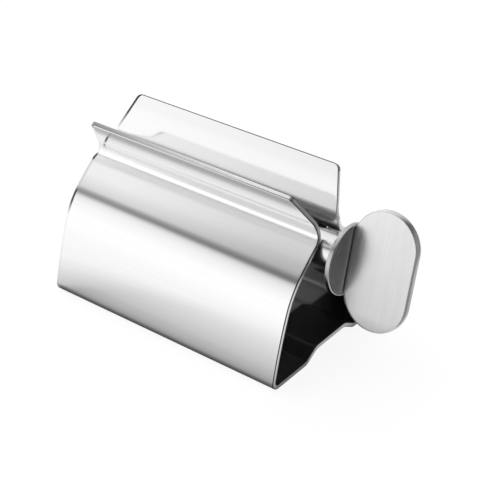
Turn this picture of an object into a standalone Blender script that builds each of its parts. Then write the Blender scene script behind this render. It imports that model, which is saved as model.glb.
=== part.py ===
"""Stand-up squeezer for a toothpaste tube: one bent steel sheet, and a slotted key that winds the tube up."""
import math

import bmesh
import bpy
from mathutils import Matrix, Vector

MM = 0.001

# Body, bent from one strip of sheet. X runs along the tube's width, Y from the front to the rear.
BODY_LENGTH = 70.0 * MM
SHEET = 1.2 * MM
SHEET_EDGE = 0.15 * MM
THROAT_GAP = 5.8 * MM

# Front wall: its lip curves out above the throat, narrows to its edge and ends below the plate's top.
LIP_DROP = 0.8 * MM
LIP_RADIUS = 5.4 * MM
LIP_FLARE = math.radians(33.6)
LIP_INSET = 4.35 * MM
LIP_TAPER_LENGTH = 14.5 * MM
LIP_CORNER_RADIUS = 0.9 * MM
FRONT_NOSE_HEIGHT = 34.7 * MM
FRONT_THROAT_RADIUS = 1.8 * MM
FRONT_SLOPE = math.radians(49.2)

# Rear wall: its plate is taller and narrows in the same way.
PLATE_RISE = 10.0 * MM
PLATE_RADIUS = 3.6 * MM
PLATE_FLARE = math.radians(31.6)
PLATE_INSET = 4.1 * MM
PLATE_TAPER_LENGTH = 11.9 * MM
PLATE_CORNER_RADIUS = 1.2 * MM
REAR_NOSE_HEIGHT = 36.0 * MM
REAR_THROAT_RADIUS = 4.5 * MM
REAR_SLOPE = math.radians(51.0)

# Below its slope each wall has a round shoulder, a long belly and a tight corner.
SHOULDER_RADIUS = 22.0 * MM
BELLY_RADIUS = 126.0 * MM
BELLY_TOP_LEAN = math.radians(20.0)
BELLY_FOOT_LEAN = math.radians(12.3)
CORNER_RADIUS = 2.4 * MM

# Base: two flat feet and a raised middle between two steps.
FRONT_FOOT = 12.3 * MM
REAR_FOOT = 8.0 * MM
STEP_RISE = 2.4 * MM
STEP_ANGLE = math.radians(38.0)
STEP_RADIUS = 2.6 * MM

# Key: a slotted shaft, a collar and a handle plate, one after the other along X.
SHAFT_RADIUS = 5.4 * MM
SHAFT_CLEARANCE = 0.3 * MM
SHAFT_END_INSET = 1.0 * MM
SHAFT_CHAMFER = 0.8 * MM
SLOT_WIDTH = 2.2 * MM
SLOT_ROOT = 6.0 * MM
COLLAR_RADIUS = 8.9 * MM
COLLAR_THICKNESS = 1.4 * MM
COLLAR_STANDOFF = 4.5 * MM
COLLAR_EDGE = 0.25 * MM
HANDLE_WIDTH = 17.0 * MM
HANDLE_HEIGHT = 29.6 * MM
HANDLE_THICKNESS = 2.0 * MM
HANDLE_EDGE = 0.45 * MM
HANDLE_TRIM = 0.4 * MM
HANDLE_LEAN = math.radians(14.0)
SEAM = 0.3 * MM

# How finely the round stretches are faceted, and by how much a cutter overshoots.
BEND_STEP = math.radians(4.0)
BELLY_STEP = math.radians(1.0)
ROUND_SIDES = 72
ARC_SIDES = 10
CORNER_SIDES = 6
EDGE_SIDES = 3
SLOPE_PIECES = 6
SMOOTH_ANGLE = math.radians(30.0)
MERGE_DISTANCE = 0.001 * MM
OVERSHOOT = 2.0 * MM

FRONT_NOSE_Y = -THROAT_GAP / 2 - SHEET
REAR_NOSE_Y = THROAT_GAP / 2 + SHEET
PLATE_HEIGHT = REAR_NOSE_HEIGHT + PLATE_RISE
LIP_HEIGHT = PLATE_HEIGHT - LIP_DROP


def clear_scene():
    """Empty the scene that the script starts in."""
    for thing in list(bpy.data.objects):
        bpy.data.objects.remove(thing, do_unlink=True)


def steel(name, colour, roughness):
    """A stainless steel material."""
    material = bpy.data.materials.new(name)
    material.use_nodes = True
    shader = material.node_tree.nodes["Principled BSDF"]
    shader.inputs["Base Color"].default_value = (*colour, 1.0)
    shader.inputs["Metallic"].default_value = 1.0
    shader.inputs["Roughness"].default_value = roughness
    return material


def add_object(name, work, material=None):
    """Put a bmesh in the scene as one named, smooth-shaded object whose faces point out."""
    bmesh.ops.recalc_face_normals(work, faces=work.faces)
    mesh = bpy.data.meshes.new(name)
    work.to_mesh(mesh)
    work.free()
    mesh.shade_smooth()
    mesh.set_sharp_from_angle(angle=SMOOTH_ANGLE)
    if material:
        mesh.materials.append(material)
    thing = bpy.data.objects.new(name, mesh)
    bpy.context.scene.collection.objects.link(thing)
    return thing


def extrude_outline(outline, depth):
    """A closed (x, y) outline raised along Z by a depth, as a bmesh."""
    work = bmesh.new()
    face = work.faces.new([work.verts.new((x, y, 0.0)) for x, y in outline])
    raised = bmesh.ops.extrude_face_region(work, geom=[face])
    tops = [item for item in raised["geom"] if isinstance(item, bmesh.types.BMVert)]
    bmesh.ops.translate(work, verts=tops, vec=(0.0, 0.0, depth))
    return work


class Fold:
    """The strip seen from its end: its outer face drawn as runs and bends, with the inside on the left."""

    def __init__(self, y, z, heading):
        self.point = Vector((y, z))
        self.heading = heading
        self.length = 0.0
        self.stations = []
        self.mark()

    def mark(self):
        """Keep a station: a point on the outer face, the direction across the sheet, the length so far."""
        inward = Vector((-math.sin(self.heading), math.cos(self.heading)))
        self.stations.append((self.point.copy(), inward, self.length))

    def run(self, *stops):
        """Go straight on, with a station at each of the distances."""
        start = self.point.copy()
        before = self.length
        along = Vector((math.cos(self.heading), math.sin(self.heading)))
        for distance in stops:
            self.point = start + along * distance
            self.length = before + distance
            self.mark()

    def bend(self, radius, turn, step=BEND_STEP):
        """Turn left on an arc of the outer face, or right when the turn is negative."""
        count = max(EDGE_SIDES, math.ceil(abs(turn) / step))
        side = math.copysign(radius, turn)
        centre = self.point + self.stations[-1][1] * side
        first = self.heading
        before = self.length
        for index in range(1, count + 1):
            self.heading = first + turn * index / count
            self.length = before + radius * abs(turn) * index / count
            outward = Vector((math.sin(self.heading), -math.cos(self.heading)))
            self.point = centre + outward * side
            self.mark()


def slope_run(nose_height, throat_radius, slope):
    """Length of a wall's straight slope, which takes up the height that its bends leave."""
    throat = throat_radius * math.sin(slope)
    shoulder = SHOULDER_RADIUS * (math.sin(slope) - math.sin(BELLY_TOP_LEAN))
    belly = BELLY_RADIUS * (math.sin(BELLY_TOP_LEAN) - math.sin(BELLY_FOOT_LEAN))
    corner = CORNER_RADIUS * (1 + math.sin(BELLY_FOOT_LEAN))
    return (nose_height - throat - shoulder - belly - corner) / math.cos(slope)


FRONT_RUN = slope_run(FRONT_NOSE_HEIGHT, FRONT_THROAT_RADIUS, FRONT_SLOPE)
REAR_RUN = slope_run(REAR_NOSE_HEIGHT, REAR_THROAT_RADIUS, REAR_SLOPE)


def wall_reach(throat_radius, slope, run):
    """How far the flat of the base begins in front of, or behind, a wall's nose."""
    throat = throat_radius * (1 - math.cos(slope))
    shoulder = SHOULDER_RADIUS * (math.cos(BELLY_TOP_LEAN) - math.cos(slope))
    belly = BELLY_RADIUS * (math.cos(BELLY_FOOT_LEAN) - math.cos(BELLY_TOP_LEAN))
    corner = CORNER_RADIUS * math.cos(BELLY_FOOT_LEAN)
    return throat + run * math.sin(slope) + shoulder + belly - corner


def fold_base(fold):
    """Draw the base from the front corner to the rear corner."""
    bends = 2 * STEP_RADIUS * (1 - math.cos(STEP_ANGLE))
    slant = (STEP_RISE - bends) / math.sin(STEP_ANGLE)
    step_reach = 2 * STEP_RADIUS * math.sin(STEP_ANGLE) + slant * math.cos(STEP_ANGLE)
    rear_end = REAR_NOSE_Y + wall_reach(REAR_THROAT_RADIUS, REAR_SLOPE, REAR_RUN)
    middle = rear_end - REAR_FOOT - FRONT_FOOT - 2 * step_reach - fold.point.x
    fold.run(FRONT_FOOT)
    for way in (1, -1):
        fold.bend(STEP_RADIUS, way * STEP_ANGLE)
        fold.run(slant)
        fold.bend(STEP_RADIUS, -way * STEP_ANGLE)
        fold.run(middle if way > 0 else REAR_FOOT)


def fold_body():
    """Follow the strip from the lip down the front wall, along the base and up to the plate's top."""
    lip_run = straight_run(LIP_HEIGHT - FRONT_NOSE_HEIGHT, LIP_RADIUS, LIP_FLARE)
    bend_back = LIP_RADIUS * (1 - math.cos(LIP_FLARE))
    lip_y = FRONT_NOSE_Y - bend_back - lip_run * math.sin(LIP_FLARE)
    fold = Fold(lip_y, LIP_HEIGHT, LIP_FLARE - math.pi / 2)
    fold.run(*corner_stops(LIP_CORNER_RADIUS), lip_run)
    fold.bend(LIP_RADIUS, -LIP_FLARE)
    fold.bend(FRONT_THROAT_RADIUS, -FRONT_SLOPE)
    fold.run(*even_stops(FRONT_RUN))
    fold.bend(SHOULDER_RADIUS, FRONT_SLOPE - BELLY_TOP_LEAN, BELLY_STEP)
    fold.bend(BELLY_RADIUS, BELLY_TOP_LEAN - BELLY_FOOT_LEAN, BELLY_STEP)
    fold.bend(CORNER_RADIUS, BELLY_FOOT_LEAN + math.pi / 2)
    fold_base(fold)
    fold.bend(CORNER_RADIUS, BELLY_FOOT_LEAN + math.pi / 2)
    fold.bend(BELLY_RADIUS, BELLY_TOP_LEAN - BELLY_FOOT_LEAN, BELLY_STEP)
    fold.bend(SHOULDER_RADIUS, REAR_SLOPE - BELLY_TOP_LEAN, BELLY_STEP)
    fold.run(*even_stops(REAR_RUN))
    fold.bend(REAR_THROAT_RADIUS, -REAR_SLOPE)
    fold.bend(PLATE_RADIUS, -PLATE_FLARE)
    plate_run = straight_run(PLATE_RISE, PLATE_RADIUS, PLATE_FLARE)
    corner = [plate_run - stop for stop in reversed(corner_stops(PLATE_CORNER_RADIUS))]
    fold.run(*corner, plate_run)
    return fold.stations


def straight_run(rise, radius, flare):
    """Length of a flared wall above its bend, for the height that it climbs from its nose."""
    return (rise - radius * math.sin(flare)) / math.cos(flare)


def even_stops(length):
    """Distances that part a straight slope evenly, so that a taper can begin on it."""
    return [length * index / SLOPE_PIECES for index in range(1, SLOPE_PIECES + 1)]


def corner_stops(radius):
    """Distances from the strip's edge at which a round corner gets its points."""
    turns = [math.pi / 2 * index / CORNER_SIDES for index in range(1, CORNER_SIDES + 1)]
    return [radius * (1 - math.cos(turn)) for turn in turns]


def end_inset(from_edge, inset, taper_length, corner_radius):
    """How far the strip is drawn in at each end: a straight taper that closes with a round corner."""
    taper = inset * max(1 - from_edge / taper_length, 0.0)
    sunk = max(corner_radius - from_edge, 0.0)
    return taper + corner_radius - math.sqrt(corner_radius ** 2 - sunk ** 2)


def strip_ring(outer, inward, inset, shrink):
    """The strip's cross-section at one station, with its corners softened."""
    half = BODY_LENGTH / 2 - inset - shrink
    near = shrink
    far = SHEET - shrink
    soft = SHEET_EDGE
    corners = ((-half, near, 1, 0), (half, near, -1, 0), (half, near, 0, 1), (half, far, 0, -1),
               (half, far, -1, 0), (-half, far, 1, 0), (-half, far, 0, -1), (-half, near, 0, 1))
    ring = []
    for x, depth, along, across in corners:
        at = outer + inward * (depth + across * soft)
        ring.append((x + along * soft, at.x, at.y))
    return ring


def make_body(material):
    """The whole stand: one strip of sheet with soft edges, closed at the lip and at the plate's top."""
    stations = fold_body()
    last = len(stations) - 1
    whole = stations[last][2]
    work = bmesh.new()
    rows = []
    for index, (outer, inward, length) in enumerate(stations):
        lip = end_inset(length, LIP_INSET, LIP_TAPER_LENGTH, LIP_CORNER_RADIUS)
        plate = end_inset(whole - length, PLATE_INSET, PLATE_TAPER_LENGTH, PLATE_CORNER_RADIUS)
        inset = lip + plate
        shrink = SHEET_EDGE if index in (0, last) else 0.0
        ring = strip_ring(outer, inward, inset, shrink)
        rows.append([work.verts.new(place) for place in ring])
    for near, far in zip(rows, rows[1:]):
        for side in range(len(near)):
            after = (side + 1) % len(near)
            work.faces.new((near[side], near[after], far[after], far[side]))
    work.faces.new(rows[0])
    work.faces.new(rows[last])
    return add_object("body_sheet", work, material)


def shaft_axis():
    """The shaft's centre: it nestles under both throat bends, a clearance away from each."""
    front = Vector((FRONT_NOSE_Y - FRONT_THROAT_RADIUS, FRONT_NOSE_HEIGHT))
    rear = Vector((REAR_NOSE_Y + REAR_THROAT_RADIUS, REAR_NOSE_HEIGHT))
    spread = rear - front
    front_reach = FRONT_THROAT_RADIUS + SHEET + SHAFT_CLEARANCE + SHAFT_RADIUS
    rear_reach = REAR_THROAT_RADIUS + SHEET + SHAFT_CLEARANCE + SHAFT_RADIUS
    along = (front_reach ** 2 - rear_reach ** 2 + spread.length ** 2) / (2 * spread.length)
    down = Vector((spread.y, -spread.x)).normalized()
    return front + spread.normalized() * along + down * math.sqrt(front_reach ** 2 - along ** 2)


def turned(profile):
    """A solid of revolution round the X axis from a profile of (along, radius) points."""
    work = bmesh.new()
    points = [work.verts.new((along, 0.0, radius)) for along, radius in profile]
    edges = [work.edges.new(pair) for pair in zip(points, points[1:])]
    bmesh.ops.spin(work, geom=points + edges, cent=(0.0, 0.0, 0.0), axis=(1.0, 0.0, 0.0),
                   angle=2 * math.pi, steps=ROUND_SIDES, use_merge=True)
    bmesh.ops.remove_doubles(work, verts=work.verts, dist=MERGE_DISTANCE)
    return work


def rounded(start, end, radius, start_edge, end_edge):
    """Profile of a turned piece from one end to the other, with quarter-round edges."""
    quarter = [math.pi / 2 * index / EDGE_SIDES for index in range(EDGE_SIDES + 1)]
    first = [(start + start_edge * (1 - math.sin(turn)), radius - start_edge * (1 - math.cos(turn)))
             for turn in reversed(quarter)]
    second = [(end - end_edge * (1 - math.sin(turn)), radius - end_edge * (1 - math.cos(turn)))
              for turn in quarter]
    return [(start, 0.0), *first, *second, (end, 0.0)]


def make_shaft(free_end, root_end, material):
    """The winding shaft, slit from its free end almost to the collar."""
    rod = turned(rounded(free_end, root_end, SHAFT_RADIUS, SHAFT_CHAMFER, COLLAR_EDGE))
    shaft = add_object("slotted_shaft", rod, material)
    half = SLOT_WIDTH / 2
    round_at = root_end - SLOT_ROOT - half
    outline = [(free_end - OVERSHOOT, -half)]
    for index in range(ARC_SIDES + 1):
        turn = math.pi * index / ARC_SIDES - math.pi / 2
        outline.append((round_at + half * math.cos(turn), half * math.sin(turn)))
    outline.append((free_end - OVERSHOOT, half))
    reach = SHAFT_RADIUS + OVERSHOOT
    slot = add_object("slot_cutter", extrude_outline(outline, 2 * reach))
    slot.location.z = -reach
    slot.hide_render = True
    slot.display_type = "WIRE"
    slot.parent = shaft
    cut = shaft.modifiers.new("slot", "BOOLEAN")
    cut.operation = "DIFFERENCE"
    cut.solver = "EXACT"
    cut.object = slot
    return shaft


def make_handle(inner_side, material):
    """A stadium-shaped plate, trimmed straight where it meets the collar, with round edges."""
    radius = HANDLE_WIDTH / 2
    straight = HANDLE_HEIGHT / 2 - radius
    middle = inner_side - HANDLE_TRIM + radius
    sweep = math.acos((inner_side - middle) / radius)
    turns = [sweep * index / ROUND_SIDES * 2 for index in range(ROUND_SIDES // 2 + 1)]
    upper = [(middle + radius * math.cos(turn), straight + radius * math.sin(turn)) for turn in turns]
    lower = [(x, -y) for x, y in reversed(upper)]
    plate = extrude_outline(lower + upper, HANDLE_THICKNESS)
    bmesh.ops.rotate(plate, verts=plate.verts, matrix=Matrix.Rotation(math.pi / 2, 3, "X"))
    bmesh.ops.translate(plate, verts=plate.verts, vec=(0.0, HANDLE_THICKNESS / 2, 0.0))
    handle = add_object("handle_plate", plate, material)
    soften = handle.modifiers.new("round edges", "BEVEL")
    soften.width = HANDLE_EDGE
    soften.segments = EDGE_SIDES
    soften.limit_method = "ANGLE"
    soften.angle_limit = math.radians(60.0)
    return handle


def make_key(material):
    """The slotted shaft, its collar and the handle, parented to an empty on the axis they turn about."""
    axis = shaft_axis()
    key = bpy.data.objects.new("key_axis", None)
    key.location = (0.0, axis.x, axis.y)
    key.rotation_euler = (-HANDLE_LEAN, 0.0, 0.0)
    bpy.context.scene.collection.objects.link(key)
    free_end = SHAFT_END_INSET - BODY_LENGTH / 2
    collar_start = BODY_LENGTH / 2 + COLLAR_STANDOFF
    collar_end = collar_start + COLLAR_THICKNESS
    shaft = make_shaft(free_end, collar_start - SEAM, material)
    disc = turned(rounded(collar_start, collar_end, COLLAR_RADIUS, COLLAR_EDGE, COLLAR_EDGE))
    collar = add_object("collar_disc", disc, material)
    handle = make_handle(collar_end + SEAM, material)
    for piece in (shaft, collar, handle):
        piece.parent = key
    return key


def centre_on_origin(body, key):
    """Move both onto the origin: the middle of the overall box, on the surface that the stand rests on."""
    handle_tip = (BODY_LENGTH / 2 + COLLAR_STANDOFF + COLLAR_THICKNESS + SEAM - HANDLE_TRIM + HANDLE_WIDTH)
    depths = [vertex.co.y for vertex in body.data.vertices]
    middle = Vector(((handle_tip - BODY_LENGTH / 2) / 2, (min(depths) + max(depths)) / 2, 0.0))
    body.location -= middle
    key.location -= middle


def main():
    """Build the stand and its key."""
    clear_scene()
    body = make_body(steel("polished_sheet", (0.78, 0.78, 0.79), 0.22))
    key = make_key(steel("brushed_key", (0.74, 0.74, 0.75), 0.32))
    centre_on_origin(body, key)


main()
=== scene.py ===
"""Looks of the stand-up tube squeezer: polished bent sheet and a brushed winding key in a soft studio."""
import math

import bmesh
import bpy
from mathutils import Euler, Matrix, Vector


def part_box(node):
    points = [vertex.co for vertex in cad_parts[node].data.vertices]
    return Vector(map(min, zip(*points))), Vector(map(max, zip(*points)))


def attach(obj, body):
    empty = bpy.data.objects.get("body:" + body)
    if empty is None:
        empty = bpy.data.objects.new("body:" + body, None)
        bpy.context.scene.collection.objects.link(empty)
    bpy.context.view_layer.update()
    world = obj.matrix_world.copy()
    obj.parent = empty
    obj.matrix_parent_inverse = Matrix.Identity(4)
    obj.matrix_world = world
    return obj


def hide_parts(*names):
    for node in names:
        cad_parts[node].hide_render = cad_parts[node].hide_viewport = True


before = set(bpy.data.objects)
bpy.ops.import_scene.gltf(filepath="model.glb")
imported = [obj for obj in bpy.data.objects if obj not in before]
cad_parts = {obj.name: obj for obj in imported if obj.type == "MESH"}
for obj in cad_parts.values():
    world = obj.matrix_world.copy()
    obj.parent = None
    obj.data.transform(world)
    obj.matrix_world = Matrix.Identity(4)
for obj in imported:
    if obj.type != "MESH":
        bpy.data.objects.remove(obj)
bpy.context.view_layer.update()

MM = 0.001
scene = bpy.context.scene

# Camera, at the viewing angle of the photograph.
CAMERA_PLACE = Vector((173.17, -226.86, 199.52)) * MM
CAMERA_YAW = math.radians(37.84)
CAMERA_PITCH = math.radians(31.80)
FOCAL_PIXELS = 1370.8
IMAGE_PIXELS = 480.0
SENSOR_WIDTH = 36.0
CLIP_START = 0.005


def make_camera():
    """A long lens above the front right corner of the stand."""
    data = bpy.data.cameras.new("camera")
    data.sensor_width = SENSOR_WIDTH
    data.lens = FOCAL_PIXELS / IMAGE_PIXELS * SENSOR_WIDTH
    data.clip_start = CLIP_START
    camera = bpy.data.objects.new("camera", data)
    camera.location = CAMERA_PLACE
    camera.rotation_euler = Euler((math.pi / 2 - CAMERA_PITCH, 0.0, CAMERA_YAW), "XYZ")
    scene.collection.objects.link(camera)
    scene.camera = camera


make_camera()

# Sizes of the stand and its key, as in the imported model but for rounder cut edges, closed seams and a base
# with gentler steps and smaller feet.
SHEET = 1.2 * MM
EDGE = 0.2 * MM
THROAT_GAP = 5.8 * MM
FRONT_NOSE_HEIGHT = 34.7 * MM
FRONT_THROAT_RADIUS = 1.8 * MM
FRONT_SLOPE = math.radians(49.2)
LIP_DROP = 0.8 * MM
LIP_RADIUS = 5.4 * MM
LIP_FLARE = math.radians(33.6)
LIP_INSET = 4.35 * MM
LIP_TAPER_LENGTH = 14.5 * MM
LIP_CORNER_RADIUS = 0.9 * MM
REAR_NOSE_HEIGHT = 36.0 * MM
REAR_THROAT_RADIUS = 4.5 * MM
REAR_SLOPE = math.radians(51.0)
PLATE_RISE = 10.0 * MM
PLATE_RADIUS = 3.6 * MM
PLATE_FLARE = math.radians(31.6)
PLATE_INSET = 4.1 * MM
PLATE_TAPER_LENGTH = 11.9 * MM
PLATE_CORNER_RADIUS = 1.2 * MM
SHOULDER_RADIUS = 22.0 * MM
BELLY_RADIUS = 126.0 * MM
BELLY_TOP_LEAN = math.radians(20.0)
BELLY_FOOT_LEAN = math.radians(12.3)
CORNER_RADIUS = 2.4 * MM
FRONT_FOOT = 10.7 * MM
REAR_FOOT = 6.8 * MM
STEP_RISE = 2.4 * MM
STEP_ANGLE = math.radians(30.0)
STEP_RADIUS = 2.6 * MM
SLOT_WIDTH = 2.2 * MM
SLOT_ROOT = 6.0 * MM
SHAFT_CHAMFER = 0.8 * MM
ROOT_FILLET = 0.5 * MM
TURNED_EDGE = 0.3 * MM
HANDLE_WIDTH = 17.0 * MM
HANDLE_HEIGHT = 29.6 * MM
HANDLE_THICKNESS = 2.0 * MM
HANDLE_EDGE = 0.5 * MM
HANDLE_LEAN = math.radians(14.0)
SEAM = 0.02 * MM

# How finely each curve is drawn.
TIGHT_STEP = math.radians(2.5)
SHOULDER_STEP = math.radians(0.9)
BELLY_STEP = math.radians(0.3)
EDGE_STEPS = 4
EVEN_STOPS = 8
CORNER_STOPS = 12
HALF_COLUMNS = 5
CHAMFER_STEPS = 6
FILLET_STEPS = 5
TURN_SIDES = 144
SLOT_STEPS = 16
TIP_STEPS = 72
RIM_STEPS = 5
SHARP_ANGLE = math.radians(40.0)
SLOT_SHARP_ANGLE = math.radians(30.0)
SUPPORT = 0.25 * MM
MERGE = 0.001 * MM

# How far the slot's cutter reaches past the shaft, and the least round edge of a section.
CUTTER_MARGIN = 2 * MM
LEAST_EDGE = 0.02 * MM

# Each slope between a throat bend and its shoulder springs outwards by this angle at both its ends.
SLOPE_BOW = math.radians(3.0)
BOW_STEP = SLOPE_BOW / 6

# Width of the painted dark line, a painted reflection, beside the cut at the left end.
EDGE_LINE = 0.6 * MM

FRONT_NOSE_Y = -THROAT_GAP / 2 - SHEET
REAR_NOSE_Y = THROAT_GAP / 2 + SHEET
PLATE_HEIGHT = REAR_NOSE_HEIGHT + PLATE_RISE
LIP_HEIGHT = PLATE_HEIGHT - LIP_DROP

# Duller polish along the two throat bends. Each has a line along X through a (y, z) point, the
# distances at which the change is full and gone, and the roughness that it adds.
THROAT_CREASE = ((-4.6 * MM, 34.3 * MM), 1.6 * MM, 3.6 * MM, 0.20)
REAR_CREASE = ((3.0 * MM, 34.6 * MM), 2.4 * MM, 4.2 * MM, 0.28)

# Painted highlights and painted shade along the same bends, in the same form, with a factor for the colour
# last: above one it paints a highlight, below one a shade.
CREASE_SHINE = ((-4.7 * MM, 34.0 * MM), 1.1 * MM, 2.4 * MM, 1.16)
REAR_DARK = ((2.95 * MM, 36.7 * MM), 0.5 * MM, 1.2 * MM, 0.72)
REAR_SHINE = ((3.0 * MM, 35.1 * MM), 0.4 * MM, 1.0 * MM, 1.27)

# Painted shade on the lip's outer face: it dims between two heights to a factor. The dimming is full close
# to that face and gone inside the sheet, and the round edge on top stays pale from two depths below the
# lip's top.
LIP_SHADE = (40.4 * MM, 43.8 * MM, 0.40)
LIP_EDGE_Y = -10.18 * MM
LIP_FACE_DEPTHS = (0.3 * MM, 1.0 * MM)
LIP_PALE_EDGE = (0.44 * MM, 0.3 * MM)

# Painted shade on the cut tops: the lip's cut top dims between two places along X, from a factor at the left
# to one at the right, where a factor above one paints a faint highlight, and the plate's cut top has one
# factor. Where these tops are: a reach of Y and one of Z for each.
CUT_TOP_SHADE = (-40.0 * MM, 8.0 * MM, 0.40, 1.06)
PLATE_TOP_LEVEL = 0.5
LIP_TOP = ((-5.0 * MM, -4.0 * MM), (43.5 * MM, 44.5 * MM))
PLATE_TOP = ((5.0 * MM, 6.0 * MM), (44.9 * MM, 45.1 * MM))

# The inside is duller steel, from these distances along the strip from its front and rear edges. A painted
# shade on it dims between two places along X, from a factor to a lower one, and twice as much low down.
INSIDE_DEPTHS = (14.5 * MM, 15.6 * MM)
INSIDE_SHADE = (9.8 * MM, 10.8 * MM, 0.8, 0.18)
INSIDE_BASE = (4 * MM, 9 * MM)

# Where the painted dark line, a painted reflection along the rounded cut edges, stays dark: towards the
# right end, and at the left end on the plate, in the front throat bend and on a length of the front wall,
# which starts and ends softly between pairs of heights.
PAINTED_LINE_RIGHT = (-14 * MM, 12 * MM)
PAINTED_LINE_PLATE = (38 * MM, 42 * MM)
PAINTED_LINE_WALL = (21 * MM, 24 * MM, 26.3 * MM, 27.3 * MM)
PAINTED_LINE_BEND = ((-5.6 * MM, 33.3 * MM), 0.7 * MM, 1.3 * MM)
PAINTED_LINE_BEHIND = (0.0, 1 * MM)
# Where the painted dark line fades out, the edge takes this plain grey.
FADED_LINE_GREY = (0.76, 0.76, 0.76)

# The plate springs by a hair between two heights: only its shading shows it.
PLATE_SPRING = (36.5 * MM, 44.5 * MM, 0.44 * MM)
SPRING_BEHIND = (0.0, 1.5 * MM)

# Painted shade on the handle: it dims towards its lower end, towards its tip and low down on its rim: two
# places and a factor for each. The rim is where the steel is nearer to the plate's middle than these two
# depths.
HANDLE_SHADE = (-14.4 * MM, -10.5 * MM, 0.78)
HANDLE_TIP = (31 * MM, 42 * MM, 0.93)
HANDLE_RIM = (-3 * MM, 6 * MM, 0.74)
HANDLE_RIM_DEPTHS = (0.5 * MM, 0.9 * MM)

# Clouds of roughness and long waves in the polished sheet, in features per metre. A streak of the grain is
# this share of fine lines, and the rest is broader ones. Noise between two values gives the full swing.
CLOUDS = (55.0, 55.0, 55.0)
WAVES = (14.0, 70.0, 70.0)
LINE_SHARE = 0.55
BROADER = 5
STREAK_NOISE = (0.3, 0.7)
CLOUD_NOISE = (0.35, 0.7)
CLOUD_SWING = (-0.6, 0.8)
BROAD_OFFSET = (3.1, 7.7, 1.9)
CLOUD_OFFSET = (0.4, 0.2, 0.9)
WAVE_OFFSET = (5.0, 2.0, 8.0)


# Node materials.
class Nodes:
    """Short hand for building one node tree."""

    def __init__(self, tree):
        self.tree = tree
        tree.nodes.clear()

    def add(self, kind, **settings):
        """A new node with its properties set."""
        node = self.tree.nodes.new(kind)
        for name, value in settings.items():
            setattr(node, name, value)
        return node

    def feed(self, node, socket, source):
        """Set an input to a value, or link it to an output."""
        target = node.inputs[socket]
        if isinstance(source, bpy.types.NodeSocket):
            self.tree.links.new(source, target)
        else:
            target.default_value = source

    def math(self, operation, first, second=0.0, clamp=False):
        """The output of a Math node."""
        node = self.add("ShaderNodeMath", operation=operation, use_clamp=clamp)
        self.feed(node, 0, first)
        self.feed(node, 1, second)
        return node.outputs[0]

    def spread(self, source, low, high, to_low, to_high, smooth=False):
        """The output of a Map Range node."""
        node = self.add("ShaderNodeMapRange")
        node.interpolation_type = "SMOOTHSTEP" if smooth else "LINEAR"
        for socket, value in zip(("Value", "From Min", "From Max", "To Min", "To Max"),
                                 (source, low, high, to_low, to_high)):
            self.feed(node, socket, value)
        return node.outputs[0]

    def noise(self, vector, scales, detail, roughness, offset=(0.0, 0.0, 0.0)):
        """Noise stretched by three scales, in features per metre."""
        place = self.add("ShaderNodeMapping")
        self.feed(place, "Vector", vector)
        place.inputs["Scale"].default_value = scales
        place.inputs["Location"].default_value = offset
        node = self.add("ShaderNodeTexNoise")
        self.feed(node, "Vector", place.outputs[0])
        self.feed(node, "Scale", 1.0)
        self.feed(node, "Detail", detail)
        self.feed(node, "Roughness", roughness)
        return node.outputs["Fac"]

    def grey_mix(self, factor, dark, pale):
        """A colour between two, by a factor."""
        node = self.add("ShaderNodeMix", data_type="RGBA")
        self.feed(node, "Factor", factor)
        node.inputs["A"].default_value = (*dark, 1.0)
        node.inputs["B"].default_value = (*pale, 1.0)
        return node.outputs["Result"]

    def curve(self, source, stops):
        """The value of a smooth ramp of (place, level) stops; the levels may be above one."""
        peak = max(level for place, level in stops)
        low, high = stops[0][0], stops[-1][0]
        ramp = self.add("ShaderNodeValToRGB")
        self.feed(ramp, "Fac", self.spread(source, low, high, 0.0, 1.0))
        ramp.color_ramp.interpolation = "EASE"
        elements = ramp.color_ramp.elements
        for place, level in stops[1:-1]:
            elements.new((place - low) / (high - low))
        for element, (place, level) in zip(elements, stops):
            element.color = (level / peak, level / peak, level / peak, 1.0)
        return self.math("MULTIPLY", ramp.outputs[0], peak)

    def blend(self, factor, first, second):
        """A number between two, by a factor."""
        node = self.add("ShaderNodeMix", data_type="FLOAT")
        for socket, value in zip(("Factor", "A", "B"), (factor, first, second)):
            self.feed(node, socket, value)
        return node.outputs["Result"]

    def bump(self, height, distance, normal=None):
        """A Bump node's normal; the distance is in metres."""
        node = self.add("ShaderNodeBump")
        self.feed(node, "Height", height)
        node.inputs["Distance"].default_value = distance
        node.inputs["Strength"].default_value = 1.0
        if normal:
            self.feed(node, "Normal", normal)
        return node.outputs[0]


def axes_of(nodes, place):
    """The X, Y and Z of a place as outputs by name."""
    spot = nodes.add("ShaderNodeSeparateXYZ")
    nodes.feed(spot, 0, place)
    return spot.outputs


def away_from(nodes, place, line):
    """The distance from a line along X through a (y, z) point."""
    spot = axes_of(nodes, place)
    across = nodes.math("SUBTRACT", spot["Y"], line[0])
    upward = nodes.math("SUBTRACT", spot["Z"], line[1])
    squares = [nodes.math("MULTIPLY", value, value) for value in (across, upward)]
    return nodes.math("SQRT", nodes.math("ADD", *squares))


def lip_shade(nodes, place, low_z, high_z, level):
    """A painted shade on the lip's outer face between two heights; its other face stays bright."""
    spot = axes_of(nodes, place)
    behind_edge = nodes.math("SUBTRACT", spot["Y"], LIP_EDGE_Y)
    above_edge = nodes.math("SUBTRACT", spot["Z"], LIP_HEIGHT)
    depth = nodes.math("ADD", nodes.math("MULTIPLY", behind_edge, math.cos(LIP_FLARE)),
                       nodes.math("MULTIPLY", above_edge, math.sin(LIP_FLARE)))
    outer = nodes.spread(depth, *LIP_FACE_DEPTHS, 1.0, 0.0)
    high = nodes.spread(spot["Z"], low_z, high_z, 0.0, 1.0, smooth=True)
    pale_from, pale_to = (LIP_HEIGHT - below for below in LIP_PALE_EDGE)
    below_edge = nodes.spread(spot["Z"], pale_from, pale_to, 1.0, 0.0)
    dimmed = nodes.math("MULTIPLY", outer, nodes.math("MULTIPLY", high, below_edge))
    return nodes.blend(dimmed, 1.0, level)


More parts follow.
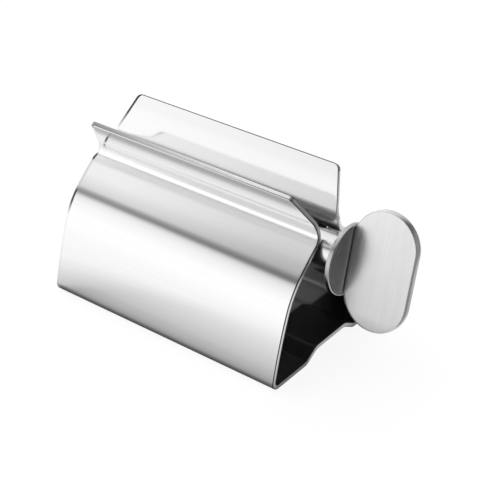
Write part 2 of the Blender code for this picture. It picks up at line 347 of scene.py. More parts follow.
def cut_top_shade(nodes, place, left_x, right_x, left_level, right_level):
    """A painted shade on the cut tops: on the lip's towards its left end, and on all the plate's, with a
    faint painted highlight at the lip's right.
    """
    spot = axes_of(nodes, place)
    along_lip = nodes.spread(spot["X"], left_x, right_x, left_level, right_level)
    (lip_front, lip_back), lip_heights = LIP_TOP
    on_lip = nodes.math("MULTIPLY", nodes.spread(spot["Y"], lip_front, lip_back, 1.0, 0.0),
                        nodes.spread(spot["Z"], *lip_heights, 0.0, 1.0))
    plate_places, plate_heights = PLATE_TOP
    on_plate = nodes.math("MULTIPLY", nodes.spread(spot["Y"], *plate_places, 0.0, 1.0),
                          nodes.spread(spot["Z"], *plate_heights, 0.0, 1.0))
    return nodes.blend(on_plate, nodes.blend(on_lip, 1.0, along_lip), PLATE_TOP_LEVEL)


def inside_shade(nodes, place, left_x, right_x, inner_level, end_level):
    """A painted shade on the inside near the open right end, most of all on the base."""
    spot = axes_of(nodes, place)
    deep = nodes.spread(spot["Z"], *INSIDE_BASE, end_level / 2, end_level)
    return nodes.spread(spot["X"], left_x, right_x, inner_level, deep)


def handle_shade(nodes, place, low_z, high_z, level):
    """A painted shade on the handle towards its lower end and its tip, and on its rim low down."""
    spot = axes_of(nodes, place)
    lower = nodes.spread(spot["Z"], low_z, high_z, level, 1.0, smooth=True)
    tip_start, tip_end, tip_level = HANDLE_TIP
    tip = nodes.spread(spot["X"], tip_start, tip_end, 1.0, tip_level)
    rim_low, rim_high, rim_level = HANDLE_RIM
    on_rim = nodes.spread(nodes.math("ABSOLUTE", spot["Y"]), *HANDLE_RIM_DEPTHS, 1.0, 0.0)
    rim = nodes.blend(on_rim, 1.0, nodes.spread(spot["Z"], rim_low, rim_high, rim_level, 1.0))
    return nodes.math("MULTIPLY", nodes.math("MULTIPLY", lower, tip), rim)


def painted_line_fade(nodes, place):
    """How much of the painted dark line along the cut edges fades out: little at the right end, most of it
    at the left.
    """
    spot = axes_of(nodes, place)
    right = nodes.spread(spot["X"], *PAINTED_LINE_RIGHT, 0.0, 1.0)
    plate = nodes.spread(spot["Z"], *PAINTED_LINE_PLATE, 0.0, 1.0)
    wall_foot, wall_low, wall_high, wall_top = PAINTED_LINE_WALL
    wall = nodes.math("MULTIPLY", nodes.spread(spot["Z"], wall_high, wall_top, 1.0, 0.0),
                      nodes.spread(spot["Z"], wall_foot, wall_low, 0.0, 1.0))
    line, near, far = PAINTED_LINE_BEND
    crease = nodes.spread(away_from(nodes, place, line), near, far, 1.0, 0.0)
    behind = nodes.spread(spot["Y"], *PAINTED_LINE_BEHIND, 0.0, 1.0)
    left = nodes.blend(behind, nodes.math("MAXIMUM", wall, crease), plate)
    return nodes.spread(nodes.math("MAXIMUM", right, left), 0.0, 1.0, 1.0, 0.0)


def rings_round_x(nodes, place):
    """A place as (along, radius, 0), so that a grain across it runs in rings round the X axis."""
    spot = axes_of(nodes, place)
    together = nodes.add("ShaderNodeCombineXYZ")
    squares = [nodes.math("MULTIPLY", spot[axis], spot[axis]) for axis in ("Y", "Z")]
    nodes.feed(together, "X", spot["X"])
    nodes.feed(together, "Y", nodes.math("SQRT", nodes.math("ADD", *squares)))
    return together.outputs[0]


def steel(name, grain, colours, rough, rough_swing, grain_depth, wave_depth=0.0, rings=False,
          bends=(), painted_bands=(), spring=None, shade=None, fade=None):
    """Bare steel with a grain: fine lines that change its tone, its roughness and its normal, with painted
    highlights and painted shades scaling its colour.
    """
    material = bpy.data.materials.new(name)
    material.use_nodes = True
    nodes = Nodes(material.node_tree)
    place = nodes.add("ShaderNodeTexCoord").outputs["Object"]
    if rings:
        place = rings_round_x(nodes, place)
    lines = nodes.noise(place, grain, 3.0, 0.6)
    broad = nodes.noise(place, [scale / BROADER for scale in grain], 2.0, 0.5, BROAD_OFFSET)
    clouds = nodes.noise(place, CLOUDS, 3.0, 0.55, CLOUD_OFFSET)
    streak = nodes.math("ADD", nodes.math("MULTIPLY", lines, LINE_SHARE),
                        nodes.math("MULTIPLY", broad, 1 - LINE_SHARE))
    shader = nodes.add("ShaderNodeBsdfPrincipled")
    shader.inputs["Metallic"].default_value = 1.0

    colour = nodes.grey_mix(nodes.spread(streak, *STREAK_NOISE, 0.0, 1.0), *colours)
    # Where the painted dark line fades out, a plain grey takes its place.
    if fade:
        faded_line = nodes.add("ShaderNodeMix", data_type="RGBA")
        nodes.feed(faded_line, "Factor", fade(nodes, place))
        nodes.feed(faded_line, "A", colour)
        faded_line.inputs["B"].default_value = (*FADED_LINE_GREY, 1.0)
        colour = faded_line.outputs["Result"]
    # Painted highlights and painted shades: each factor scales the colour.
    shades = [nodes.spread(away_from(nodes, place, line), near, far, level, 1.0, smooth=True)
              for line, near, far, level in painted_bands]
    if shade:
        way, values = shade
        shades.append(way(nodes, place, *values))
    for factor in shades:
        tinted = nodes.add("ShaderNodeVectorMath", operation="SCALE")
        nodes.feed(tinted, 0, colour)
        nodes.feed(tinted, "Scale", factor)
        colour = tinted.outputs[0]
    nodes.feed(shader, "Base Color", colour)

    streak_rough = nodes.spread(streak, *STREAK_NOISE, rough - rough_swing, rough + rough_swing)
    cloud_low, cloud_high = (rough_swing * swing for swing in CLOUD_SWING)
    cloud_rough = nodes.spread(clouds, *CLOUD_NOISE, cloud_low, cloud_high)
    rough_now = nodes.math("ADD", streak_rough, cloud_rough)
    for line, near, far, bend_rough in bends:
        away = away_from(nodes, place, line)
        rough_now = nodes.math("ADD", rough_now, nodes.spread(away, near, far, bend_rough, 0.0, smooth=True))
    nodes.feed(shader, "Roughness", nodes.math("ADD", rough_now, 0.0, clamp=True))

    normal = nodes.bump(lines, grain_depth)
    if wave_depth:
        waves = nodes.noise(place, WAVES, 1.0, 0.4, WAVE_OFFSET)
        normal = nodes.bump(waves, wave_depth, normal)
    if spring:
        low_z, high_z, depth = spring
        spot = axes_of(nodes, place)
        behind = nodes.spread(spot["Y"], *SPRING_BEHIND, 0.0, 1.0)
        wave = nodes.spread(spot["Z"], low_z, high_z, 0.0, 1.0, smooth=True)
        normal = nodes.bump(nodes.math("MULTIPLY", wave, behind), depth, normal)
    nodes.feed(shader, "Normal", normal)
    nodes.feed(nodes.add("ShaderNodeOutputMaterial"), "Surface", shader.outputs[0])
    return material


def greys(dark, pale):
    """The two ends of a grain's tone."""
    return (dark, dark, dark), (pale, pale, pale)


SHEET_GRAIN = (22.0, 5200.0, 5200.0)
CUT_GRAIN = (900.0, 900.0, 900.0)
# The sheet's face carries painted highlights and painted shade along its bends and painted shade on its lip.
# The inside, the cut tops and the handle carry painted shade, and the dark edge line is a painted
# reflection.
SHEET_FACE = steel("sheet_face", SHEET_GRAIN, greys(0.76, 0.785), 0.105, 0.012, 0.0004 * MM, 0.02 * MM,
                   bends=(THROAT_CREASE, REAR_CREASE), painted_bands=(CREASE_SHINE, REAR_DARK, REAR_SHINE),
                   spring=PLATE_SPRING, shade=(lip_shade, LIP_SHADE))
SHEET_INSIDE = steel("sheet_inside", SHEET_GRAIN, greys(0.74, 0.84), 0.42, 0.04, 0.0005 * MM, 0.02 * MM,
                     shade=(inside_shade, INSIDE_SHADE))
SHEET_RIM = steel("sheet_rim", CUT_GRAIN, greys(0.70, 0.82), 0.30, 0.05, 0.004 * MM,
                  shade=(cut_top_shade, CUT_TOP_SHADE))
SHEET_PAINTED_LINE = steel("sheet_painted_line", CUT_GRAIN, greys(0.05, 0.12), 0.30, 0.05, 0.004 * MM,
                   shade=(cut_top_shade, CUT_TOP_SHADE), fade=painted_line_fade)
HANDLE_FACE = steel("handle_face", (2900.0, 2900.0, 130.0), greys(0.65, 0.78), 0.30, 0.05, 0.002 * MM,
                    shade=(handle_shade, HANDLE_SHADE))
COLLAR_FACE = steel("collar_face", (2600.0, 2600.0, 40.0), greys(0.44, 0.49), 0.24, 0.03, 0.0003 * MM,
                    rings=True)
SHAFT_FACE = steel("shaft_face", (3600.0, 160.0, 160.0), greys(0.68, 0.78), 0.18, 0.04, 0.001 * MM)


def smooth_object(name, work, materials):
    """A bmesh as a smooth object that keeps its sharp corners."""
    bmesh.ops.recalc_face_normals(work, faces=work.faces)
    mesh = bpy.data.meshes.new(name)
    work.to_mesh(mesh)
    work.free()
    mesh.shade_smooth()
    mesh.set_sharp_from_angle(angle=SHARP_ANGLE)
    for material in materials:
        mesh.materials.append(material)
    piece = bpy.data.objects.new(name, mesh)
    scene.collection.objects.link(piece)
    return piece


def add_piece(name, work, materials, body, node):
    """A bmesh as a smooth piece that rides on a body and stands for a CAD node."""
    piece = smooth_object(name, work, materials)
    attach(piece, body)
    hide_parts(node)
    return piece


# The bent sheet: its faces, its cut edges, its inside and the painted dark line beside each cut, a painted
# reflection along the rounded edges.
FACE, CUT, INSIDE, PAINTED_LINE = range(4)


class Fold:
    """The strip seen from its end, drawn as runs and bends of its outer face."""

    def __init__(self, y, z, heading):
        self.point = Vector((y, z))
        self.heading = heading
        self.length = 0.0
        self.stations = []

    def inward(self):
        """The direction across the sheet, from its outer to its inner face."""
        return Vector((-math.sin(self.heading), math.cos(self.heading)))

    def mark(self, shrink=0.0):
        """Keep a station; near the strip's ends its section shrinks for the round edge."""
        self.stations.append((self.point.copy(), self.inward(), shrink, self.length))

    def run(self, length, stops=()):
        """Go straight on, with stations close to both ends and at the stops."""
        start = self.point.copy()
        before = self.length
        along = Vector((math.cos(self.heading), math.sin(self.heading)))
        even = [length * index / EVEN_STOPS for index in range(1, EVEN_STOPS + 1)]
        for distance in sorted([SUPPORT, length - SUPPORT, *even, *stops]):
            if 0 < distance <= length:
                self.point = start + along * distance
                self.length = before + distance
                self.mark()

    def bend(self, radius, turn, step=TIGHT_STEP):
        """Turn left on an arc of the outer face, or right when the turn is negative."""
        count = max(EDGE_STEPS, math.ceil(abs(turn) / step))
        side = math.copysign(radius, turn)
        centre = self.point + self.inward() * side
        first = self.heading
        before = self.length
        for index in range(1, count + 1):
            self.heading = first + turn * index / count
            self.point = centre - self.inward() * side
            self.length = before + radius * abs(turn) * index / count
            self.mark()

    def close(self, way):
        """Round the strip's edge: from the start inwards when way is 1, to the end when it is -1."""
        along = Vector((math.cos(self.heading), math.sin(self.heading)))
        start = self.point.copy()
        before = self.length
        for index in range(EDGE_STEPS + 1):
            turn = math.pi / 2 * index / EDGE_STEPS
            rise = 1 - math.cos(turn) if way > 0 else math.sin(turn)
            drawn_in = 1 - math.sin(turn) if way > 0 else 1 - math.cos(turn)
            self.point = start + along * EDGE * rise
            self.length = before + EDGE * rise
            self.mark(EDGE * drawn_in)


def slope_run(nose_height, throat_radius, slope):
    """Length of a wall's straight slope."""
    throat = throat_radius * math.sin(slope)
    shoulder = SHOULDER_RADIUS * (math.sin(slope) - math.sin(BELLY_TOP_LEAN))
    belly = BELLY_RADIUS * (math.sin(BELLY_TOP_LEAN) - math.sin(BELLY_FOOT_LEAN))
    corner = CORNER_RADIUS * (1 + math.sin(BELLY_FOOT_LEAN))
    return (nose_height - throat - shoulder - belly - corner) / math.cos(slope)


def bow_radius(throat_radius, slope, run):
    """Radius of a slope that springs outwards by a hair between its throat bend and its shoulder."""
    throat = throat_radius * (math.sin(slope) - math.sin(slope + SLOPE_BOW))
    shoulder = SHOULDER_RADIUS * (math.sin(slope) - math.sin(slope - SLOPE_BOW))
    return (run * math.cos(slope) + throat + shoulder) / (2 * math.sin(SLOPE_BOW) * math.cos(slope))


def wall_reach(throat_radius, slope, run):
    """How far the flat of the base begins in front of, or behind, a wall's nose."""
    throat = throat_radius * (1 - math.cos(slope))
    shoulder = SHOULDER_RADIUS * (math.cos(BELLY_TOP_LEAN) - math.cos(slope))
    belly = BELLY_RADIUS * (math.cos(BELLY_FOOT_LEAN) - math.cos(BELLY_TOP_LEAN))
    corner = CORNER_RADIUS * math.cos(BELLY_FOOT_LEAN)
    return throat + run * math.sin(slope) + shoulder + belly - corner


def fold_body():
    """Follow the strip from the lip down the front wall, along the base and up to the plate's top."""
    front_run = slope_run(FRONT_NOSE_HEIGHT, FRONT_THROAT_RADIUS, FRONT_SLOPE)
    rear_run = slope_run(REAR_NOSE_HEIGHT, REAR_THROAT_RADIUS, REAR_SLOPE)
    lip_run = straight_run(LIP_HEIGHT - FRONT_NOSE_HEIGHT, LIP_RADIUS, LIP_FLARE)
    bend_back = LIP_RADIUS * (1 - math.cos(LIP_FLARE))
    lip_reach = bend_back + lip_run * math.sin(LIP_FLARE)
    fold = Fold(FRONT_NOSE_Y - lip_reach, LIP_HEIGHT, LIP_FLARE - math.pi / 2)
    fold.close(1)
    fold.run(lip_run - EDGE, [stop - EDGE for stop in corner_stops(LIP_CORNER_RADIUS)])
    fold.bend(LIP_RADIUS, -LIP_FLARE)
    fold.bend(FRONT_THROAT_RADIUS, -FRONT_SLOPE - SLOPE_BOW)
    fold.bend(bow_radius(FRONT_THROAT_RADIUS, FRONT_SLOPE, front_run), 2 * SLOPE_BOW, BOW_STEP)
    fold.bend(SHOULDER_RADIUS, FRONT_SLOPE - SLOPE_BOW - BELLY_TOP_LEAN, SHOULDER_STEP)
    fold.bend(BELLY_RADIUS, BELLY_TOP_LEAN - BELLY_FOOT_LEAN, BELLY_STEP)
    fold.bend(CORNER_RADIUS, BELLY_FOOT_LEAN + math.pi / 2)
    bends = 2 * STEP_RADIUS * (1 - math.cos(STEP_ANGLE))
    slant = (STEP_RISE - bends) / math.sin(STEP_ANGLE)
    step_reach = 2 * STEP_RADIUS * math.sin(STEP_ANGLE) + slant * math.cos(STEP_ANGLE)
    rear_end = REAR_NOSE_Y + wall_reach(REAR_THROAT_RADIUS, REAR_SLOPE, rear_run)
    middle = rear_end - REAR_FOOT - FRONT_FOOT - 2 * step_reach - fold.point.x
    fold.run(FRONT_FOOT)
    for way in (1, -1):
        fold.bend(STEP_RADIUS, way * STEP_ANGLE)
        fold.run(slant)
        fold.bend(STEP_RADIUS, -way * STEP_ANGLE)
        fold.run(middle if way > 0 else REAR_FOOT)
    fold.bend(CORNER_RADIUS, BELLY_FOOT_LEAN + math.pi / 2)
    fold.bend(BELLY_RADIUS, BELLY_TOP_LEAN - BELLY_FOOT_LEAN, BELLY_STEP)
    fold.bend(SHOULDER_RADIUS, REAR_SLOPE - SLOPE_BOW - BELLY_TOP_LEAN, SHOULDER_STEP)
    fold.bend(bow_radius(REAR_THROAT_RADIUS, REAR_SLOPE, rear_run), 2 * SLOPE_BOW, BOW_STEP)
    fold.bend(REAR_THROAT_RADIUS, -REAR_SLOPE - SLOPE_BOW)
    fold.bend(PLATE_RADIUS, -PLATE_FLARE)
    plate_run = straight_run(PLATE_RISE, PLATE_RADIUS, PLATE_FLARE)
    fold.run(plate_run - EDGE, [plate_run - stop for stop in corner_stops(PLATE_CORNER_RADIUS)])
    fold.close(-1)
    return fold.stations


def straight_run(rise, radius, flare):
    """Length of a flared wall above its bend."""
    return (rise - radius * math.sin(flare)) / math.cos(flare)


def corner_stops(radius):
    """Distances from the strip's edge at which a round corner gets its points."""
    turns = [math.pi / 2 * index / CORNER_STOPS for index in range(1, CORNER_STOPS + 1)]
    return [radius * (1 - math.cos(turn)) for turn in turns]


def end_inset(from_edge, inset, taper_length, corner_radius):
    """How far the strip is drawn in at each end: a straight taper that closes with a round corner."""
    taper = inset * max(1 - from_edge / taper_length, 0.0)
    sunk = max(corner_radius - from_edge, 0.0)
    return taper + corner_radius - math.sqrt(corner_radius ** 2 - sunk ** 2)


def section(half, shrink):
    """The strip's cross-section as (x, depth, kind) points, going round it once."""
    half -= shrink
    soft = max(EDGE - shrink, LEAST_EDGE)
    flat = half - soft
    spacing = (flat - EDGE_LINE) / HALF_COLUMNS
    columns = [-flat, *[spacing * index for index in range(-HALF_COLUMNS, HALF_COLUMNS + 1)], flat]
    points = [(x, shrink, FACE) for x in columns]
    for index in range(1, EDGE_STEPS + 1):
        turn = math.pi / 2 * index / EDGE_STEPS
        points.append((flat + soft * math.sin(turn), shrink + soft * (1 - math.cos(turn)), PAINTED_LINE))
    for index in range(EDGE_STEPS):
        turn = math.pi / 2 * index / EDGE_STEPS
        points.append((flat + soft * math.cos(turn), SHEET - shrink - soft * (1 - math.sin(turn)), PAINTED_LINE))
    inner = [(x, SHEET - depth, kind) for x, depth, kind in points[:len(columns)]]
    points += reversed(inner)
    for index in range(1, EDGE_STEPS + 1):
        turn = math.pi / 2 * index / EDGE_STEPS
        points.append((-flat - soft * math.sin(turn), SHEET - shrink - soft * (1 - math.cos(turn)), PAINTED_LINE))
    for index in range(EDGE_STEPS):
        turn = math.pi / 2 * index / EDGE_STEPS
        points.append((-flat - soft * math.cos(turn), shrink + soft * (1 - math.sin(turn)), PAINTED_LINE))
    return points


def kind_at(kind, x, depth, shrink, outer_y, length, whole):
    """The surface at one point: its section's own kind, changed near the strip's front and rear edges."""
    if kind == FACE and shrink > 0:
        dark = depth > SHEET / 2 or outer_y > 0 or shrink > EDGE / 2
        return PAINTED_LINE if dark else FACE
    if kind == PAINTED_LINE and x > 0 and length > whole - 2 * PLATE_TAPER_LENGTH:
        return CUT
    if kind == FACE and depth > SHEET / 2 and INSIDE_DEPTHS[0] < length < whole - INSIDE_DEPTHS[1]:
        return INSIDE
    return kind


def kind_of(kinds):
    """The surface of a face from its corners: the painted dark line wins, then a plain face."""
    return PAINTED_LINE if PAINTED_LINE in kinds else min(kinds)


def make_sheet():
    """The stand: one strip of polished sheet with softly rounded cut edges."""
    body_low, body_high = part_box("body_sheet")
    middle_x = (body_low.x + body_high.x) / 2
    half_length = (body_high.x - body_low.x) / 2
    stations = fold_body()
    depths = [(outer.x, (outer + inward * SHEET).x) for outer, inward, shrink, length in stations]
    shift_y = (body_low.y + body_high.y) / 2 - (min(map(min, depths)) + max(map(max, depths))) / 2
    work = bmesh.new()
    rows = []
    whole = stations[-1][3]
    for outer, inward, shrink, length in stations:
        inset = end_inset(length, LIP_INSET, LIP_TAPER_LENGTH, LIP_CORNER_RADIUS)
        inset += end_inset(whole - length, PLATE_INSET, PLATE_TAPER_LENGTH, PLATE_CORNER_RADIUS)
        row = []
        for x, depth, kind in section(half_length - inset, shrink):
            at = outer + inward * depth
            vertex = work.verts.new((middle_x + x, at.x + shift_y, at.y))
            row.append((vertex, kind_at(kind, x, depth, shrink, outer.x, length, whole)))
        rows.append(row)
    columns = (len(rows[0]) - 4 * EDGE_STEPS) // 2
    first_inner = columns + 2 * EDGE_STEPS
    last_inner = first_inner + columns - 2
    flats = (*range(columns - 1), *range(first_inner, last_inner + 1))
    for near, far in zip(rows, rows[1:]):
        for side in range(len(near)):
            after = (side + 1) % len(near)
            corners = (near[side], near[after], far[after], far[side])
            face = work.faces.new([vertex for vertex, kind in corners])
            across_cut = abs(near[side][0].co.x - near[after][0].co.x) < MERGE and side not in flats
            outer_line = side == 0 and near[0][1] == FACE and far[0][1] == FACE
            inner_line = side == last_inner and near[side][1] == FACE
            if outer_line or inner_line:
                face.material_index = PAINTED_LINE
            else:
                face.material_index = CUT if across_cut else kind_of([kind for vertex, kind in corners])
    for row in (rows[0], rows[-1]):
        face = work.faces.new([vertex for vertex, kind in row])
        face.material_index = CUT
    materials = (SHEET_FACE, SHEET_RIM, SHEET_INSIDE, SHEET_PAINTED_LINE)
    return add_piece("bent_sheet", work, materials, "stand", "body_sheet")


# The winding key.
def turned(profile):
    """A solid of revolution round the X axis from a profile of (along, radius) points."""
    work = bmesh.new()
    points = [work.verts.new((along, 0.0, radius)) for along, radius in profile]
    edges = [work.edges.new(pair) for pair in zip(points, points[1:])]
    bmesh.ops.spin(work, geom=points + edges, cent=(0.0, 0.0, 0.0), axis=(1.0, 0.0, 0.0),
                   angle=2 * math.pi, steps=TURN_SIDES, use_merge=True)
    bmesh.ops.remove_doubles(work, verts=work.verts, dist=MERGE)
    return work


def quarter(centre, radius, first, last, steps=EDGE_STEPS):
    """Points on an arc about a centre, from one angle to another."""
    turns = [math.radians(first + (last - first) * index / steps) for index in range(steps + 1)]
    return [(centre[0] + radius * math.cos(turn), centre[1] + radius * math.sin(turn)) for turn in turns]


def key_layout():
    """The key's axis and the places of its pieces along X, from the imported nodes."""
    low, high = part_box("collar_disc")
    shaft_low, shaft_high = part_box("slotted_shaft")
    axis = Vector((0.0, (low.y + high.y) / 2, (low.z + high.z) / 2))
    return {"axis": axis, "collar": (low.x, high.x), "collar_radius": (high.z - low.z) / 2,
            "shaft": (shaft_low.x, shaft_high.x), "shaft_radius": (shaft_high.z - shaft_low.z) / 2}


def key_piece(name, work, materials, node, layout):
    """A key piece whose own axes are the key's, so that its grain follows its shape."""
    piece = add_piece_at(name, work, materials, layout)
    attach(piece, "key")
    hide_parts(node)
    return piece


def add_piece_at(name, work, materials, layout):
    """A smooth mesh object placed on the key's axis and leaning with it."""
    piece = smooth_object(name, work, materials)
    piece.location = layout["axis"]
    piece.rotation_euler = (-HANDLE_LEAN, 0.0, 0.0)
    bpy.context.view_layer.update()
    return piece


def make_collar(layout):
    """The collar: a thick washer with turned faces and soft edges."""
    start, end = layout["collar"]
    radius = layout["collar_radius"]
    edge = TURNED_EDGE
    profile = [(start, 0.0), (start, radius - edge - SUPPORT)]
    profile += quarter((start + edge, radius - edge), edge, 180.0, 90.0)
    profile += quarter((end - edge, radius - edge), edge, 90.0, 0.0)
    profile += [(end, radius - edge - SUPPORT), (end, 0.0)]
    return key_piece("turned_collar", turned(profile), (COLLAR_FACE,), "collar_disc", layout)


def make_shaft(layout):
    """The slotted shaft: it swells a little where it meets the collar."""
    start = layout["shaft"][0]
    end = layout["collar"][0] - SEAM
    radius = layout["shaft_radius"]
    profile = [(start, 0.0), (start, radius - SHAFT_CHAMFER - SUPPORT)]
    chamfer_at = (start + SHAFT_CHAMFER, radius - SHAFT_CHAMFER)
    profile += quarter(chamfer_at, SHAFT_CHAMFER, 180.0, 90.0, CHAMFER_STEPS)
    profile += [(end - ROOT_FILLET - SUPPORT, radius)]
    fillet_at = (end - ROOT_FILLET, radius + ROOT_FILLET)
    profile += quarter(fillet_at, ROOT_FILLET, -90.0, 0.0, FILLET_STEPS)
    profile += [(end, 0.0)]
    shaft = add_piece_at("slotted_rod", turned(profile), (SHAFT_FACE,), layout)
    half = SLOT_WIDTH / 2
    round_at = layout["shaft"][1] - SLOT_ROOT - half
    outline = [(start - CUTTER_MARGIN, -half)]
    for index in range(SLOT_STEPS + 1):
        turn = math.pi * index / SLOT_STEPS - math.pi / 2
        outline.append((round_at + half * math.cos(turn), half * math.sin(turn)))
    outline.append((start - CUTTER_MARGIN, half))
    work = bmesh.new()
    reach = radius + CUTTER_MARGIN
    face = work.faces.new([work.verts.new((x, y, -reach)) for x, y in outline])
    raised = bmesh.ops.extrude_face_region(work, geom=[face])
    tops = [item for item in raised["geom"] if isinstance(item, bmesh.types.BMVert)]
    bmesh.ops.translate(work, verts=tops, vec=(0.0, 0.0, 2 * reach))
    cutter = add_piece_at("slot", work, (), layout)
    cut = shaft.modifiers.new("slot", "BOOLEAN")
    cut.operation = "DIFFERENCE"
    cut.solver = "EXACT"
    cut.object = cutter
    graph = bpy.context.evaluated_depsgraph_get()
    slotted = bpy.data.meshes.new_from_object(shaft.evaluated_get(graph))
    shaft.modifiers.clear()
    shaft.data = slotted
    slotted.shade_smooth()
    slotted.set_sharp_from_angle(angle=SLOT_SHARP_ANGLE)
    bpy.data.objects.remove(cutter, do_unlink=True)
    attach(shaft, "key")
    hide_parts("slotted_shaft")
    return shaft


def handle_outline(inner_side, tip):
    """The stadium outline, cut straight along the collar, as (x, z) points."""
    radius = HANDLE_WIDTH / 2
    straight = HANDLE_HEIGHT / 2 - radius
    middle = tip - radius
    sweep = math.acos(max((inner_side - middle) / radius, -1.0))
    upper = []
    for index in range(TIP_STEPS + 1):
        turn = sweep * index / TIP_STEPS
        upper.append((middle + radius * math.cos(turn), straight + radius * math.sin(turn)))
    return upper + [(x, -z) for x, z in reversed(upper)]


def inset_outline(outline, inset):
    """The outline moved inwards, corner by corner."""
    moved = []
    count = len(outline)
    for index in range(count):
        before = Vector(outline[index - 1])
        here = Vector(outline[index])
        after = Vector(outline[(index + 1) % count])
        first = (here - before).normalized()
        second = (after - here).normalized()
        left = Vector((-first.y, first.x)) + Vector((-second.y, second.x))
        stretch = 2 * inset / max(left.length_squared, 1.0)
        moved.append(here + left * stretch)
    return moved


def make_handle(layout):
    """The handle: a stadium plate with round edges, its straight side against the collar."""
    low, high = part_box("handle_plate")
    outline = handle_outline(layout["collar"][1] + SEAM, high.x)
    work = bmesh.new()
    rings = []
    half = HANDLE_THICKNESS / 2
    steps = []
    for index in range(RIM_STEPS + 1):
        turn = math.pi / 2 * index / RIM_STEPS
        steps.append((HANDLE_EDGE * (1 - math.sin(turn)), -half + HANDLE_EDGE * (1 - math.cos(turn))))
    steps = [(HANDLE_EDGE + SUPPORT, -half)] + steps
    steps += [(inset, -depth) for inset, depth in reversed(steps)]
    for inset, depth in steps:
        rings.append([work.verts.new((x, depth, z)) for x, z in inset_outline(outline, inset)])
    for near, far in zip(rings, rings[1:]):
        for side in range(len(near)):
            after = (side + 1) % len(near)
            work.faces.new((near[side], near[after], far[after], far[side]))
    work.faces.new(rings[0])
    work.faces.new(rings[-1])
    return key_piece("stadium_handle", work, (HANDLE_FACE,), "handle_plate", layout)


make_sheet()
KEY = key_layout()
make_shaft(KEY)
make_collar(KEY)
make_handle(KEY)


# The studio: a pale surround with one soft dark band high in front and a dark right side. Each panel
# list gives how bright the surround is at an angle: 0 is level in front, 90 above, 180 level behind.
DEGREES = 180 / math.pi
LEFT_PANELS = ((-180, 0.6), (-60, 0.8), (-5, 1.25), (0, 1.3), (15, 1.3), (23, 1.25), (31, 1.2), (38, 1.1),
               (41, 0.86), (44, 0.36), (47, 0.33), (50, 0.52), (54, 0.94), (60, 1.15), (67, 1.16),
               (71, 0.6), (74, 0.12), (77, 0.2), (82, 1.35), (95, 1.5), (130, 1.4), (180, 0.9))
RIGHT_PANELS = ((-180, 0.6), (-60, 0.8), (-5, 1.25), (0, 1.3), (15, 1.28), (23, 1.2), (31, 1.1), (37, 0.95),
                (40, 0.7), (43, 0.24), (46, 0.18), (50, 0.34), (55, 0.58), (62, 0.8), (70, 0.9), (80, 1.0),
                (90, 1.14), (100, 1.10), (130, 0.98), (180, 0.82))

# By how far to the right a direction points, from -1 to 1: where the left panels end and the right ones
# begin, and where the surround starts to get dark and is darkest, with the factor there.
PANEL_CHANGE = (-0.60, -0.49)
DARK_SIDE = (-0.3, 0.25, 0.15)

# How bright the steel sees the floor, by the distance from the stand in metres: a painted shadow round the
# stand's foot that gives way to a glow brighter than white further off. The distance counts several times
# beyond the stand's ends. The camera sees the floor white.
FLOOR_LEVELS = ((0.0, 0.08), (0.005, 0.37), (0.015, 0.62), (0.025, 0.78), (0.041, 0.88), (0.06, 0.97),
                (0.11, 1.14), (0.19, 1.28), (0.5, 1.32))
FLOOR_END_FACTOR = 4.0
FLOOR_WHITE = 1.2
FLOOR_SIZE = 0.8
FLOOR_DROP = 0.02 * MM
FLOOR_GREY = (0.86, 0.86, 0.86)

# How much of the floor's light is its own glow: the rest is matt and takes shadows.
CAMERA_GLOW = 0.75
GLOSSY_GLOW = 0.9

# The upright card on the right: where it stands, its corners as (y, z), and how bright it is from front
# to rear in metres. It gets darker above two heights, and its lower rear part has a level of its own,
# which fades over two heights and begins between two places along Y.
FLAG_X = 53 * MM
FLAG_CORNERS = ((-90 * MM, 0.5 * MM), (110 * MM, 0.5 * MM), (110 * MM, 95 * MM), (-90 * MM, 95 * MM))
FLAG_LEVELS = ((-0.09, 0.08), (-0.03, 0.08), (-0.012, 0.34), (0.025, 0.34), (0.11, 0.36))
FLAG_HIGH = (42 * MM, 52 * MM, 0.45)
FLAG_LOW = (24 * MM, 34 * MM, 0.76)
FLAG_LOW_START = (0.0, 4 * MM)


def make_world():
    """The surround: plain white to the camera, and soft panels to the steel."""
    world = bpy.data.worlds.new("studio")
    scene.world = world
    world.use_nodes = True
    nodes = Nodes(world.node_tree)
    east, north, up = axes_of(nodes, nodes.add("ShaderNodeTexCoord").outputs["Generated"])
    rise = nodes.math("MULTIPLY", nodes.math("ARCTAN2", up, nodes.math("MULTIPLY", north, -1.0)), DEGREES)
    level = nodes.blend(nodes.spread(east, *PANEL_CHANGE, 0.0, 1.0),
                        nodes.curve(rise, LEFT_PANELS), nodes.curve(rise, RIGHT_PANELS))
    dark_start, dark_end, dark_level = DARK_SIDE
    side = nodes.spread(east, dark_start, dark_end, 1.0, dark_level, smooth=True)
    level = nodes.math("MULTIPLY", level, side)
    studio = nodes.add("ShaderNodeBackground")
    nodes.feed(studio, "Strength", level)
    white = nodes.add("ShaderNodeBackground")
    rays = nodes.add("ShaderNodeLightPath")
    both = nodes.add("ShaderNodeMixShader")
    nodes.feed(both, 0, rays.outputs["Is Camera Ray"])
    for background in (studio, white):
        background.inputs["Color"].default_value = (1.0, 1.0, 1.0, 1.0)
    nodes.feed(both, 1, studio.outputs[0])
    nodes.feed(both, 2, white.outputs[0])
    nodes.feed(nodes.add("ShaderNodeOutputWorld"), "Surface", both.outputs[0])


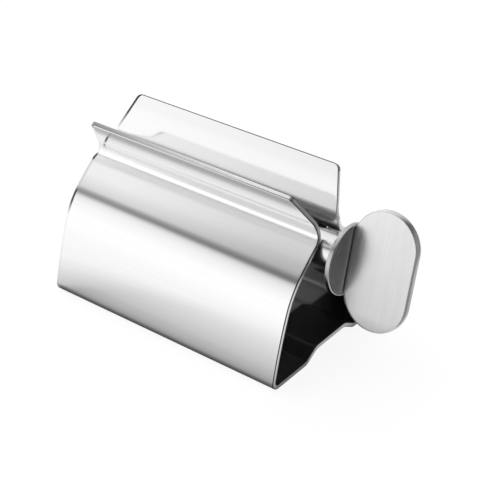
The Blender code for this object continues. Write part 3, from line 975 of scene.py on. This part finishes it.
def make_floor():
    """A plain white floor that keeps a faint shadow; the steel sees a painted shadow on it towards the
    stand's foot.
    """
    bpy.ops.mesh.primitive_plane_add(size=FLOOR_SIZE, location=(0.0, 0.0, -FLOOR_DROP))
    floor = bpy.context.object
    floor.name = "floor"
    material = bpy.data.materials.new("floor")
    material.use_nodes = True
    nodes = Nodes(material.node_tree)
    matt = nodes.add("ShaderNodeBsdfDiffuse")
    matt.inputs["Color"].default_value = (*FLOOR_GREY, 1.0)
    body_low, body_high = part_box("body_sheet")
    place = axes_of(nodes, nodes.add("ShaderNodeTexCoord").outputs["Object"])
    outside = []
    for axis, middle, half in (("X", (body_low.x + body_high.x) / 2, (body_high.x - body_low.x) / 2),
                               ("Y", 0.0, body_high.y)):
        away = nodes.math("ABSOLUTE", nodes.math("SUBTRACT", place[axis], middle))
        away = nodes.math("MAXIMUM", nodes.math("SUBTRACT", away, half), 0.0)
        away = nodes.math("MULTIPLY", away, FLOOR_END_FACTOR if axis == "X" else 1.0)
        outside.append(nodes.math("MULTIPLY", away, away))
    distance = nodes.math("SQRT", nodes.math("ADD", *outside))
    rays = nodes.add("ShaderNodeLightPath")
    glow = nodes.add("ShaderNodeEmission")
    glow.inputs["Color"].default_value = (1.0, 1.0, 1.0, 1.0)
    nodes.feed(glow, "Strength", nodes.blend(rays.outputs["Is Camera Ray"],
                                             nodes.curve(distance, FLOOR_LEVELS), FLOOR_WHITE))
    both = nodes.add("ShaderNodeMixShader")
    seen = nodes.math("ADD", nodes.math("MULTIPLY", rays.outputs["Is Camera Ray"], CAMERA_GLOW),
                      nodes.math("MULTIPLY", rays.outputs["Is Glossy Ray"], GLOSSY_GLOW))
    nodes.feed(both, 0, seen)
    nodes.feed(both, 1, matt.outputs[0])
    nodes.feed(both, 2, glow.outputs[0])
    nodes.feed(nodes.add("ShaderNodeOutputMaterial"), "Surface", both.outputs[0])
    floor.data.materials.append(material)


def make_flag():
    """A dark upright card to the right, which only reflections see."""
    work = bmesh.new()
    work.faces.new([work.verts.new((FLAG_X, y, z)) for y, z in FLAG_CORNERS])
    mesh = bpy.data.meshes.new("flag")
    work.to_mesh(mesh)
    work.free()
    flag = bpy.data.objects.new("flag", mesh)
    material = bpy.data.materials.new("flag")
    material.use_nodes = True
    nodes = Nodes(material.node_tree)
    glow = nodes.add("ShaderNodeEmission")
    glow.inputs["Color"].default_value = (1.0, 1.0, 1.0, 1.0)
    place = axes_of(nodes, nodes.add("ShaderNodeTexCoord").outputs["Object"])
    low_start, low_end, low_level = FLAG_LOW
    low_part = nodes.math("MULTIPLY", nodes.spread(place["Z"], low_start, low_end, low_level, 0.0),
                          nodes.spread(place["Y"], *FLAG_LOW_START, 0.0, 1.0))
    high_start, high_end, high_level = FLAG_HIGH
    high = nodes.spread(place["Z"], high_start, high_end, 1.0, high_level)
    level = nodes.math("MULTIPLY", nodes.curve(place["Y"], FLAG_LEVELS), high)
    nodes.feed(glow, "Strength", nodes.math("MAXIMUM", level, low_part))
    nodes.feed(nodes.add("ShaderNodeOutputMaterial"), "Surface", glow.outputs[0])
    mesh.materials.append(material)
    scene.collection.objects.link(flag)
    flag.visible_camera = False
    flag.visible_diffuse = False
    flag.visible_shadow = False


make_world()
make_floor()
make_flag()
scene.view_settings.view_transform = "Standard"
